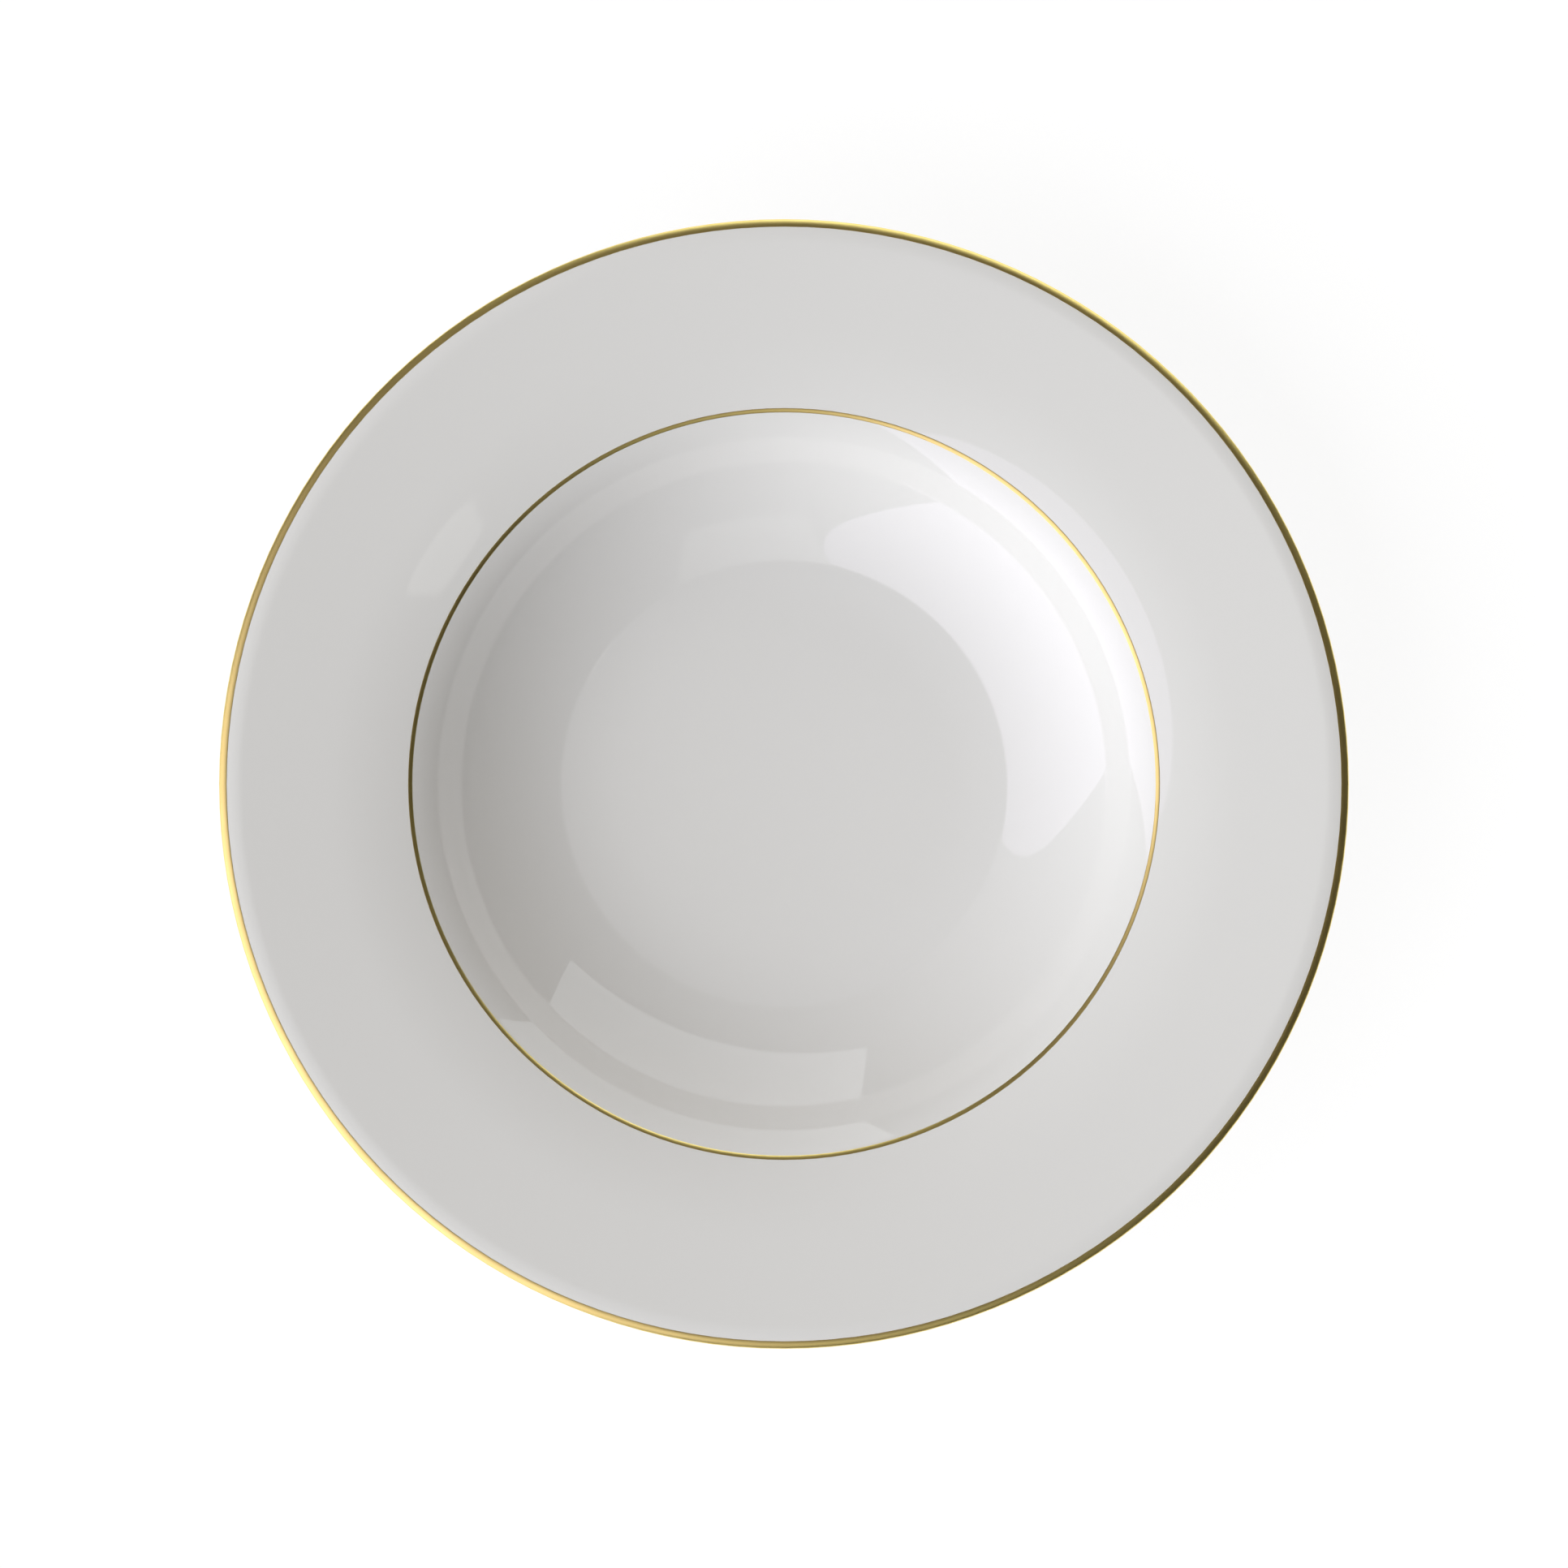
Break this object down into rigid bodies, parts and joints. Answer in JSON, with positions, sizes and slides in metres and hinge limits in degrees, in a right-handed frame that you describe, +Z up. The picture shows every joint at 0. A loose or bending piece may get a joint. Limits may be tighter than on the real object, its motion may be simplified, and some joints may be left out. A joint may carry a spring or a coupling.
{
  "type": "rimmed soup plate",
  "caption": "Round porcelain soup plate with a curved well, a wide rising flange, a gilded rounded edge and a thin gilded line at the rim of the well.",
  "frame": {"origin": "middle of the foot ring's standing face, on the axis of the plate", "axes": "+Z up along the axis of the plate, out of the well; +X and +Y lie in the table's plane"},
  "size_m": [0.23, 0.23, 0.0341],
  "materials": {
    "porcelain": "bare fired porcelain, matt and very slightly rough",
    "glaze": "clear glossy glaze over white porcelain",
    "gold": "fired and burnished gold, satin"
  },
  "bodies": {
    "root": {"porcelain_body": "porcelain", "glaze_coat": "glaze", "base_glaze": "glaze", "rim_gold_band": "gold", "well_gold_line": "gold"}
  },
  "joints": []
}
